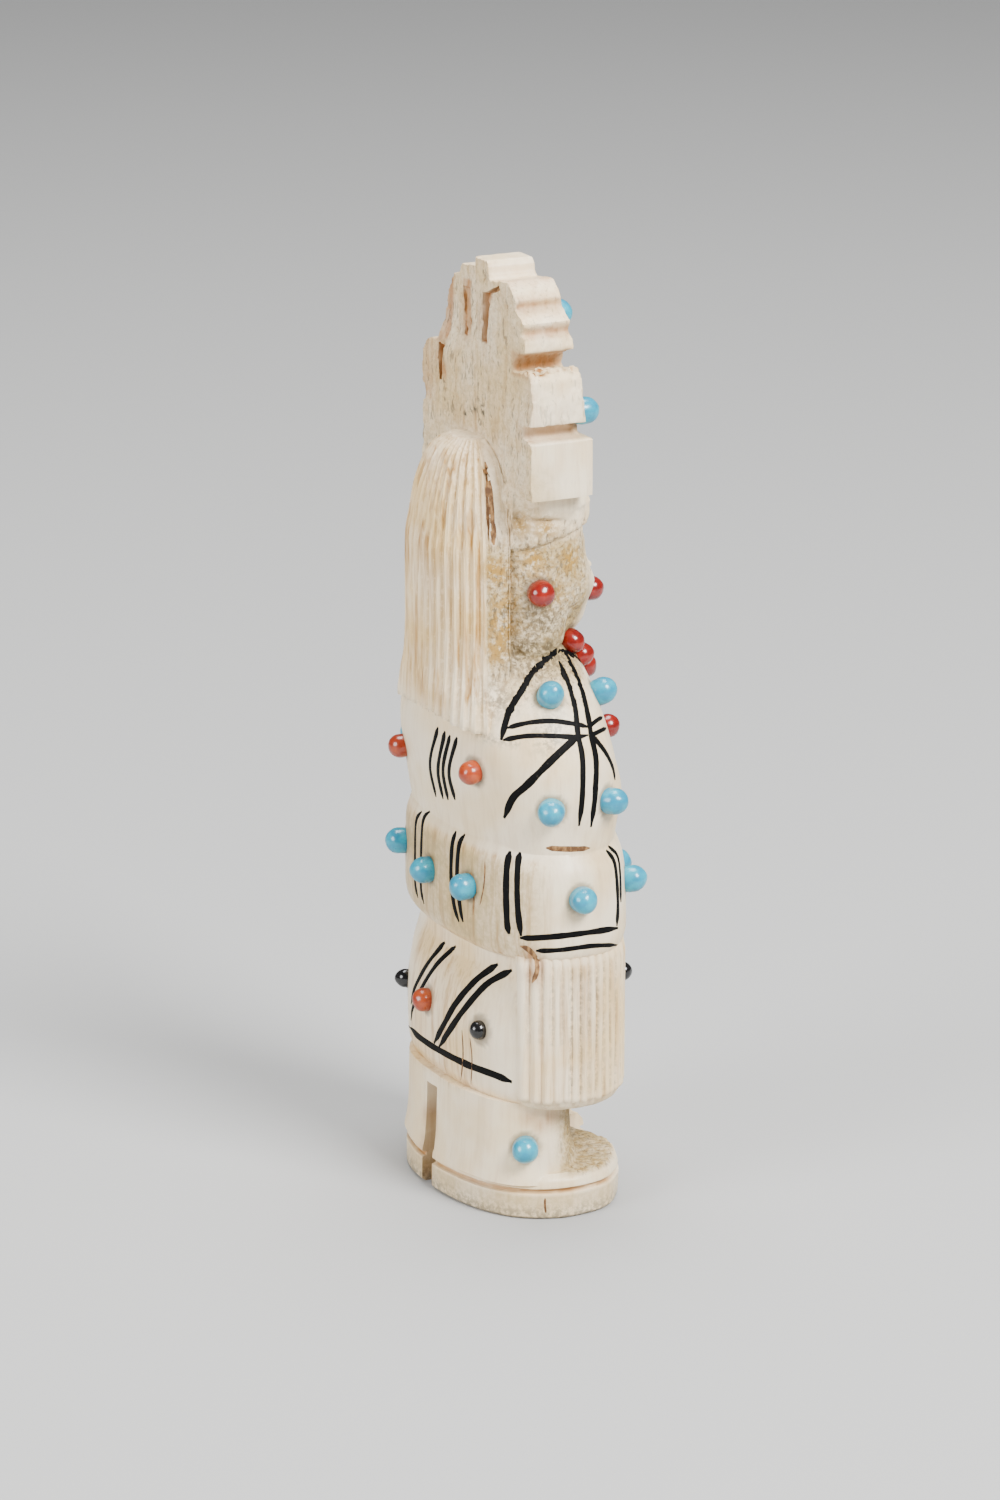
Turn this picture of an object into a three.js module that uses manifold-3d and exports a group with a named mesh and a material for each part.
// Antler carving of a corn maiden with a stepped headdress, set with small round stones.
// Millimetres, +Z up, the soles stand on z = 0. The figure faces -Y, its right hand side is -X.

import * as THREE from 'three';
import { mergeVertices } from 'three/addons/utils/BufferGeometryUtils.js';
import Module from 'manifold-3d';

const wasm = await Module();
wasm.setup();

// Driving sizes
const TALL = 108; // sole to the top of the headdress
const CLEFT = 2.6; // gap between the two feet
const GROOVE_DEEP = 0.6; // cut line above each sole
const GROOVE_HIGH = 0.5;
const STONE_SEAT = 1.1; // how deep a stone sits in the antler
const STONE_PLAY = 0.12; // room around and below a stone in its socket
const PROBE = 0.8; // reach over which a stone feels how the surface leans
const STONE_SIDES = 8;
const RIM_RISE = 0.7; // straight rim of a stone that shows above the antler
const TURQUOISE_RADIUS = 1.5;
const TURQUOISE_RISE = 1.8; // dome height above the straight rim
const CORAL_RADIUS = 1.35;
const CORAL_RISE = 1.25;
const EAR_RADIUS = 1.5;
const EAR_RISE = 1.3;
const JET_RADIUS = 1.1;
const JET_RISE = 0.8;
const DOME_BEND = 0.72; // share of the radius and of the rise where the dome bends

// The carving keeps its proportions: its levels and half sizes are hundredths of its height.
const PART = TALL / 100;
const ROUNDNESS = 2.3; // power of the oval sections, 2 is a plain ellipse
const BODY_SIDES = 32;

// Rows of the carving, from below: up, half width, reach to the front, reach to the back.
const SKIRT = [
  [11.8, 14.8, 8.3, 7.2],
  [12.3, 16.0, 9.1, 8.0],
  [13.6, 16.6, 9.3, 8.5],
  [18.5, 16.7, 9.4, 8.6],
  [23.0, 16.4, 9.3, 7.9],
  [26.5, 16.1, 9.1, 6.6],
  [29.0, 15.9, 9.0, 6.2],
];
const BELT = [
  [28.3, 15.9, 8.9, 7.8],
  [29.1, 16.8, 9.4, 8.4],
  [30.6, 17.1, 9.7, 8.6],
  [35.2, 17.1, 9.6, 8.6],
  [38.0, 16.8, 9.3, 8.6],
  [39.3, 15.3, 8.3, 8.0],
];
const ROBE = [
  [37.5, 14.6, 7.6, 7.4],
  [38.9, 15.6, 8.2, 7.8],
  [41.7, 16.2, 8.6, 8.3],
  [44.9, 16.7, 9.0, 8.7],
  [48.1, 16.5, 8.2, 9.4],
  [50.9, 15.7, 7.6, 9.7],
  [53.7, 14.1, 7.0, 9.3],
  [56.0, 11.9, 6.5, 8.3],
  [57.9, 10.0, 5.7, 7.4],
  [59.3, 8.3, 5.0, 6.5],
  [60.2, 7.0, 4.3, 5.6],
];
const HEAD = [
  [57.0, 6.6, 4.2, 5.6],
  [59.4, 7.0, 4.6, 5.6],
  [60.5, 8.0, 6.2, 5.6],
  [61.6, 8.8, 7.2, 5.6],
  [63.4, 9.3, 7.6, 5.6],
  [65.6, 9.6, 7.4, 5.6],
  [68.2, 9.7, 6.8, 5.6],
  [70.6, 9.7, 6.0, 5.6],
];
const FRINGE_HAIR = [
  [70.4, 9.8, 6.1, 5.6],
  [71.1, 10.2, 6.9, 5.6],
  [74.0, 10.2, 6.9, 5.6],
  [76.6, 9.8, 6.4, 5.2],
  [78.4, 8.6, 5.6, 4.6],
];
const SOLE_TOP = 2.85;
const FOOT = [
  [0, 15.3, 8.9, 9.5],
  [0.4, 15.7, 9.3, 9.9],
  [SOLE_TOP, 15.7, 9.4, 9.9],
  [4.0, 15.5, 9.2, 9.8],
  [4.8, 14.9, 8.6, 9.4],
];
const LEFT_SHARE = 0.88; // the left foot and leg are narrower than the right ones
const CLEFT_TOP = 11.2;
const LEG_SHIFT = -3.1; // the legs stand behind the middle of the feet
const LEG = [
  [3.8, 14.8, 8.4, 6.7],
  [5.3, 14.3, 7.4, 6.5],
  [7.6, 14.0, 6.8, 6.3],
  [12.6, 13.8, 6.7, 6.2],
];

// Long hair down the back
const HAIR_FLUTES = 13; // over the back half of the hair
const HAIR_SIDES = 6 * HAIR_FLUTES;
const HAIR_FLUTE_DEEP = 0.26;
const HAIR_SHIFT = -4.2;
const HAIR = [
  [51.4, 8.7, 1.5, 6.5],
  [70.0, 8.7, 1.5, 6.5],
  [75.0, 8.1, 1.5, 5.9],
  [78.4, 6.9, 1.4, 4.9],
  [80.4, 5.2, 1.2, 3.7],
  [81.4, 3.1, 0.9, 2.3],
];

// Fringed end of the sash on the skirt's right side
const FRINGE_WIDE = 14.28;
const FRINGE_PITCH = 1.02; // from strand to strand
const FRINGE_START = 6.3; // behind the middle of the side
const FRINGE_DEEP = 0.42;
const FRINGE_TOP = 28.6;
const FRINGE_FOOT = 13.2;

// Stepped headdress board, seen from the front: half width and level, from the foot to the top. Its
// two sides are cut by eye and aren't alike.
const BOARD_BACK = -4.1;
const BOARD_FRONT = 2.2;
const BOARD_THINS = 86; // above this level the front leans back
const BOARD_TOP_FRONT = 1.2;
const BOARD_RIGHT = [
  [8.4, 71.0],
  [8.9, 76.2],
  [13.3, 76.2],
  [13.0, 82.4],
  [11.0, 82.6],
  [11.0, 83.8],
  [12.9, 84.1],
  [12.8, 86.4],
  [12.3, 88.6],
  [11.6, 89.6],
  [8.7, 89.2],
  [9.3, 90.4],
  [10.9, 91.2],
  [10.4, 94.3],
  [8.9, 95.4],
  [8.5, 96.6],
  [7.5, 98.0],
  [6.6, 98.6],
  [3.4, 98.3],
  [2.9, 99.5],
  [2.5, 100],
];
const BOARD_LEFT = [
  [8.4, 71.0],
  [8.9, 76.2],
  [13.0, 76.2],
  [12.9, 82.4],
  [12.0, 82.6],
  [12.0, 84.0],
  [12.9, 84.2],
  [12.7, 87.6],
  [11.9, 89.2],
  [9.6, 89.6],
  [9.3, 92.0],
  [8.8, 94.8],
  [7.5, 96.8],
  [5.3, 97.4],
  [4.1, 98.5],
  [0.8, 98.9],
  [0.4, 100],
];
const EAR_BLOCK_FRONT = 3.0; // the lowest side blocks stand forward of the board
const EAR_BLOCK_INSIDE = 9.4;
const EAR_BLOCK_BACK = -3.6;
const EAR_BLOCK_ROW = 2; // the row of the board where they start, and the next one is their top
const SLOT_WIDE = 1.2;
const SLOT_DEEP = 0.8;
const SLOTS = [
  { right: 2.5, foot: 91.9, top: 96.7 },
  { right: -2.9, foot: 91.4, top: 95.8 },
  { right: -8.4, foot: 85.6, top: 89.0 },
];

// Face, plain and calm
const NOSE_LEVEL = 65.2;
const NOSE_HIGH = 2.4;
const NOSE_WIDE = 0.95;
const NOSE_OUT = 1.9;
const EYE_LEVEL = 67.4;
const EYE_ASIDE = 3.6;
const EYE_WIDE = 2.2;
const EYE_HIGH = 1.1;
const EYE_DEEP = 0.45;

const oval = (angle, reach) => Math.sign(angle) * Math.abs(angle) ** (2 / ROUNDNESS) * reach;

// A ringed solid: one ring for each row. The ripple cuts in from the ring at each bearing, and the
// left share makes the left half narrower.
function rings(rows, sides, { shift = 0, ripple = () => 0, leftShare = 1 } = {}) {
  const geometry = new THREE.CylinderGeometry(1, 1, 1, sides, rows.length - 1);
  geometry.rotateX(Math.PI / 2);
  const place = geometry.attributes.position;
  for (let i = 0; i < place.count; i += 1) {
    const spread = Math.hypot(place.getX(i), place.getY(i));
    const bearing = Math.atan2(-place.getX(i), -place.getY(i));
    const row = rows[Math.round((place.getZ(i) + 0.5) * (rows.length - 1))];
    const [up, side, fore, back] = row.map((size) => size * PART);
    const right = oval(Math.sin(bearing), bearing > 0 ? side : side * leftShare);
    const ahead = oval(Math.cos(bearing), Math.cos(bearing) > 0 ? fore : back);
    const grow = spread * (1 - ripple(bearing) / Math.hypot(right, ahead));
    place.setXYZ(i, -right * grow, -(ahead * grow + shift * PART), up);
  }
  return geometry;
}

function solid(geometry) {
  const bare = geometry.index ? geometry : mergeVertices(geometry);
  bare.deleteAttribute('normal');
  bare.deleteAttribute('uv');
  const closed = mergeVertices(bare, 1e-5);
  return new wasm.Manifold(new wasm.Mesh({
    numProp: 3,
    vertProperties: new Float32Array(closed.attributes.position.array),
    triVerts: new Uint32Array(closed.index.array),
  }));
}

function block(right, wide, ahead, deep, foot, high) {
  const box = new THREE.BoxGeometry(wide, deep, high);
  box.translate(-right, -ahead, foot + high / 2);
  return solid(box);
}

function feet() {
  const leftShare = LEFT_SHARE;
  const [, ...reach] = FOOT[2];
  const disc = (grow) => {
    const sizes = reach.map((size) => size + grow / PART);
    const rows = [[SOLE_TOP, ...sizes], [SOLE_TOP + GROOVE_HIGH / PART, ...sizes]];
    return solid(rings(rows, BODY_SIDES, { leftShare }));
  };
  const groove = disc(GROOVE_DEEP).subtract(disc(-GROOVE_DEEP));
  const boots = solid(rings(FOOT, BODY_SIDES, { leftShare })).subtract(groove);
  const legs = solid(rings(LEG, BODY_SIDES, { leftShare, shift: LEG_SHIFT }));
  const cleft = block(0, CLEFT, 0, TALL, -1, CLEFT_TOP * PART + 1);
  return boots.add(legs).subtract(cleft);
}

function hair() {
  const ripple = (bearing) => {
    if (Math.cos(bearing) > 0) return 0;
    return HAIR_FLUTE_DEEP * (1 - Math.cos(2 * HAIR_FLUTES * bearing));
  };
  return solid(rings(HAIR, HAIR_SIDES, { shift: HAIR_SHIFT, ripple }));
}

// The fringe: a strip of small round strands, cut along the skirt's right side.
function fringe() {
  const [, side, fore, back] = SKIRT[3].map((size) => size * PART);
  const strands = Math.round(FRINGE_WIDE / FRINGE_PITCH);
  const outline = new THREE.Shape();
  outline.moveTo(0, FRINGE_START);
  for (let i = 0; i <= strands * 4; i += 1) {
    const ahead = -FRINGE_START + (i / strands / 4) * FRINGE_WIDE;
    const depth = ahead > 0 ? fore : back;
    const edge = side * (1 - Math.min(Math.abs(ahead) / depth, 0.999) ** ROUNDNESS) ** (1 / ROUNDNESS);
    const strand = FRINGE_DEEP * Math.abs(Math.sin((Math.PI * i) / 4));
    outline.lineTo(-(edge + strand), -ahead);
  }
  outline.lineTo(0, FRINGE_START - FRINGE_WIDE);
  const geometry = new THREE.ExtrudeGeometry(outline, {
    depth: (FRINGE_TOP - FRINGE_FOOT) * PART,
    steps: 1,
    bevelEnabled: false,
  });
  geometry.translate(0, 0, FRINGE_FOOT * PART);
  return solid(geometry);
}

function board() {
  const leftHalf = BOARD_LEFT.map(([side, up]) => [side * PART, up * PART]);
  const rightHalf = BOARD_RIGHT.map(([side, up]) => [-side * PART, up * PART]).reverse();
  const corners = [...leftHalf, ...rightHalf].map(([x, y]) => new THREE.Vector2(x, y));
  const thick = (BOARD_FRONT - BOARD_BACK) * PART;
  const options = { depth: thick, bevelEnabled: false };
  const geometry = new THREE.ExtrudeGeometry(new THREE.Shape(corners), options);
  geometry.rotateX(Math.PI / 2);
  geometry.translate(0, -BOARD_BACK * PART, 0);
  const place = geometry.attributes.position;
  for (let i = 0; i < place.count; i += 1) {
    const share = (place.getZ(i) / PART - BOARD_THINS) / (100 - BOARD_THINS);
    const lean = Math.max(share, 0) * (BOARD_FRONT - BOARD_TOP_FRONT) * PART;
    if (place.getY(i) < 0) place.setY(i, place.getY(i) + lean);
  }
  let plate = solid(geometry);
  for (const [hand, half] of [[1, BOARD_RIGHT], [-1, BOARD_LEFT]]) {
    const [[, earFoot], [earSide, earTop]] = half.slice(EAR_BLOCK_ROW);
    const wide = (earSide - EAR_BLOCK_INSIDE) * PART;
    const deep = (EAR_BLOCK_FRONT - EAR_BLOCK_BACK) * PART;
    const middle = hand * (earSide * PART - wide / 2);
    const ahead = ((EAR_BLOCK_FRONT + EAR_BLOCK_BACK) * PART) / 2;
    plate = plate.add(block(middle, wide, ahead, deep, earFoot * PART, (earTop - earFoot) * PART));
  }
  for (const slot of SLOTS) {
    const cut = block(slot.right * PART, SLOT_WIDE, BOARD_BACK * PART, 2 * SLOT_DEEP,
      slot.foot * PART, (slot.top - slot.foot) * PART);
    plate = plate.subtract(cut);
  }
  return plate;
}

function egg(right, ahead, up, wide, deep, high) {
  const geometry = new THREE.SphereGeometry(1, 10, 8);
  geometry.rotateX(Math.PI / 2);
  geometry.scale(wide, deep, high);
  geometry.translate(-right, -ahead, up);
  return solid(geometry);
}

function head() {
  let skull = solid(rings(HEAD, BODY_SIDES));
  const front = HEAD[6][2] * PART;
  for (const hand of [1, -1]) {
    const eye = egg(hand * EYE_ASIDE * PART, front, EYE_LEVEL * PART, EYE_WIDE, 2 * EYE_DEEP, EYE_HIGH);
    skull = skull.subtract(eye);
  }
  const nose = egg(0, front, NOSE_LEVEL * PART, NOSE_WIDE, NOSE_OUT, NOSE_HIGH);
  return skull.add(nose).add(solid(rings(FRINGE_HAIR, BODY_SIDES)));
}

function figure() {
  const trunk = solid(rings(SKIRT, BODY_SIDES)).add(fringe()).add(solid(rings(BELT, BODY_SIDES)))
    .add(solid(rings(ROBE, BODY_SIDES)));
  return trunk.add(feet()).add(head()).add(hair()).add(board());
}

function meshOf(shape, name, finish) {
  const { vertProperties, triVerts } = shape.getMesh();
  const geometry = new THREE.BufferGeometry();
  geometry.setAttribute('position', new THREE.BufferAttribute(new Float32Array(vertProperties), 3));
  geometry.setIndex(new THREE.BufferAttribute(new Uint32Array(triVerts), 1));
  geometry.computeVertexNormals();
  const mesh = new THREE.Mesh(geometry, finish);
  mesh.name = name;
  return mesh;
}

// Where a stone sits: its level, its bearing from the front towards the right hand side, and, for a
// stone on a flat face, how far it stands aside of the middle. The ray at the antler finds its seat.
function seatOn(body, { up, bearing, aside = 0 }) {
  const turn = THREE.MathUtils.degToRad(bearing);
  const outward = new THREE.Vector3(-Math.sin(turn), -Math.cos(turn), 0);
  const sideways = new THREE.Vector3(-Math.cos(turn), Math.sin(turn), 0);
  const ray = new THREE.Raycaster();
  const probe = (left, above) => {
    const from = outward.clone().multiplyScalar(TALL);
    from.addScaledVector(sideways, aside * PART + left);
    from.z = up * PART + above;
    ray.set(from, outward.clone().negate());
    return ray.intersectObject(body)[0];
  };
  const middle = probe(0, 0);
  const normal = middle.face.normal.clone();
  for (const [left, above] of [[PROBE, 0], [-PROBE, 0], [0, PROBE], [0, -PROBE]]) {
    const near = probe(left, above);
    if (near && near.point.distanceTo(middle.point) < 2 * PROBE) normal.add(near.face.normal);
  }
  const turned = new THREE.Quaternion().setFromUnitVectors(new THREE.Vector3(0, 0, 1), normal.normalize());
  return new THREE.Matrix4().compose(middle.point, turned, new THREE.Vector3(1, 1, 1));
}

function turned(profile) {
  const geometry = new THREE.LatheGeometry(profile.map(([r, up]) => new THREE.Vector2(r, up)), STONE_SIDES);
  geometry.rotateX(Math.PI / 2);
  return geometry;
}

function stoneShape({ radius, rise }) {
  return turned([
    [0, -STONE_SEAT],
    [radius, -STONE_SEAT],
    [radius, RIM_RISE],
    [DOME_BEND * radius, RIM_RISE + DOME_BEND * rise],
    [0, RIM_RISE + rise],
  ]);
}

function socketShape({ radius }) {
  const room = radius + STONE_PLAY;
  const floor = -STONE_SEAT - STONE_PLAY;
  const clear = RIM_RISE + 2 * radius;
  return turned([[0, floor], [room, floor], [room, clear], [0, clear]]);
}

const finish = (color, roughness) => new THREE.MeshStandardMaterial({ color, roughness, metalness: 0 });
const antler = finish(0xe6dccb, 0.5);
const kinds = {
  turquoise: { radius: TURQUOISE_RADIUS, rise: TURQUOISE_RISE, finish: finish(0x4fb9cf, 0.3) },
  coral: { radius: CORAL_RADIUS, rise: CORAL_RISE, finish: finish(0xb5352a, 0.3) },
  ear: { radius: EAR_RADIUS, rise: EAR_RISE, finish: finish(0xb5352a, 0.3) },
  jet: { radius: JET_RADIUS, rise: JET_RISE, finish: finish(0x101010, 0.25) },
};

// Stones that sit alike on both sides of the figure, given for its right side
const PAIRED = [
  { name: 'turquoise_headdress_upper', kind: 'turquoise', up: 94.6, bearing: 0, aside: 6.1 },
  { name: 'turquoise_headdress_lower', kind: 'turquoise', up: 85.4, bearing: 0, aside: 11.0 },
  { name: 'turquoise_shoulder', kind: 'turquoise', up: 55.8, bearing: 97 },
  { name: 'turquoise_breast', kind: 'turquoise', up: 54.7, bearing: 60 },
  { name: 'turquoise_sleeve_back', kind: 'turquoise', up: 45.0, bearing: 101 },
  { name: 'turquoise_sleeve_front', kind: 'turquoise', up: 45.2, bearing: 78 },
  { name: 'turquoise_belt_side', kind: 'turquoise', up: 35.4, bearing: 91 },
  { name: 'turquoise_belt_corner', kind: 'turquoise', up: 35.2, bearing: 60 },
  { name: 'turquoise_belt_front', kind: 'turquoise', up: 34.6, bearing: 27 },
  { name: 'coral_ear', kind: 'ear', up: 66.4, bearing: 98 },
  { name: 'coral_cheek', kind: 'coral', up: 64.3, bearing: 0, aside: 3.2 },
  { name: 'coral_necklace_1', kind: 'coral', up: 60.1, bearing: 60 },
  { name: 'coral_necklace_2', kind: 'coral', up: 57.8, bearing: 46 },
  { name: 'coral_necklace_3', kind: 'coral', up: 56.0, bearing: 30 },
  { name: 'coral_chest', kind: 'coral', up: 50.4, bearing: 46 },
  { name: 'jet_skirt_front', kind: 'jet', up: 24.5, bearing: 55 },
];
const SINGLE = [
  { name: 'turquoise_boot_right', kind: 'turquoise', up: 7.8, bearing: 110 },
  { name: 'turquoise_boot_left', kind: 'turquoise', up: 7.8, bearing: -82 },
  { name: 'coral_headdress_middle', kind: 'coral', up: 89.8, bearing: 0 },
  { name: 'turquoise_belt_back_left', kind: 'turquoise', up: 34.8, bearing: -122 },
  { name: 'turquoise_belt_back_middle', kind: 'turquoise', up: 34.5, bearing: -168 },
  { name: 'turquoise_belt_back_right', kind: 'turquoise', up: 35.0, bearing: 140.5 },
  { name: 'coral_necklace_middle', kind: 'coral', up: 54.0, bearing: 0 },
  { name: 'coral_robe_back_left', kind: 'coral', up: 45.8, bearing: -127 },
  { name: 'coral_robe_back_right', kind: 'coral', up: 47.9, bearing: 134.6 },
  { name: 'coral_skirt_back', kind: 'coral', up: 19.6, bearing: -160.6 },
  { name: 'coral_skirt_front', kind: 'coral', up: 20.4, bearing: 0 },
  { name: 'jet_skirt_back_left', kind: 'jet', up: 19.0, bearing: -118 },
  { name: 'jet_skirt_back_right', kind: 'jet', up: 19.6, bearing: 132 },
];
const stones = [...SINGLE];
for (const stone of PAIRED) {
  stones.push({ ...stone, name: `${stone.name}_right` });
  stones.push({ ...stone, name: `${stone.name}_left`, bearing: -stone.bearing, aside: -(stone.aside ?? 0) });
}

const maiden = new THREE.Group();
let carved = figure();
const uncut = meshOf(carved, 'uncut', antler);
for (const stone of stones) {
  const kind = kinds[stone.kind];
  const place = seatOn(uncut, stone);
  const mesh = new THREE.Mesh(stoneShape(kind), kind.finish);
  mesh.name = stone.name;
  mesh.applyMatrix4(place);
  maiden.add(mesh);
  carved = carved.subtract(solid(socketShape(kind).applyMatrix4(place)));
}
maiden.add(meshOf(carved, 'antler_maiden', antler));

export default maiden;
